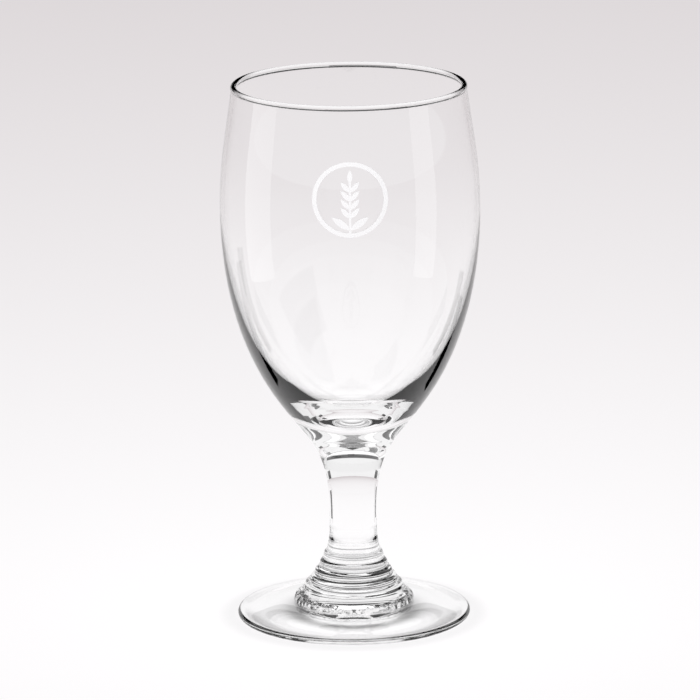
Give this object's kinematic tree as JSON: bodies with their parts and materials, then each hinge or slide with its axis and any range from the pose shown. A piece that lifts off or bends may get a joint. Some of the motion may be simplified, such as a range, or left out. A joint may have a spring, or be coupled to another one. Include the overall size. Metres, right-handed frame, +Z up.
{
  "type": "beer glass",
  "caption": "Stemmed chalice beer glass with a tall inward-curving bowl, a ringed collar on its stem, a broad round foot and a printed barley badge, for serving beer.",
  "frame": {"origin": "on the table, under the middle of the foot", "axes": "+Z up along the axis of the glass, -Y towards the printed front, +X to the right of someone facing the front"},
  "size_m": [0.086, 0.0861, 0.181],
  "materials": {
    "bowl_glass": "clear, blown and fire polished",
    "stem_glass": "clear, pressed and fire polished",
    "foot_glass": "clear, pressed and fire polished",
    "white_enamel": "fired white enamel, glossy"
  },
  "bodies": {
    "root": {"bowl": "bowl_glass", "stem": "stem_glass", "foot": "foot_glass", "printed_badge": "white_enamel"}
  },
  "joints": []
}
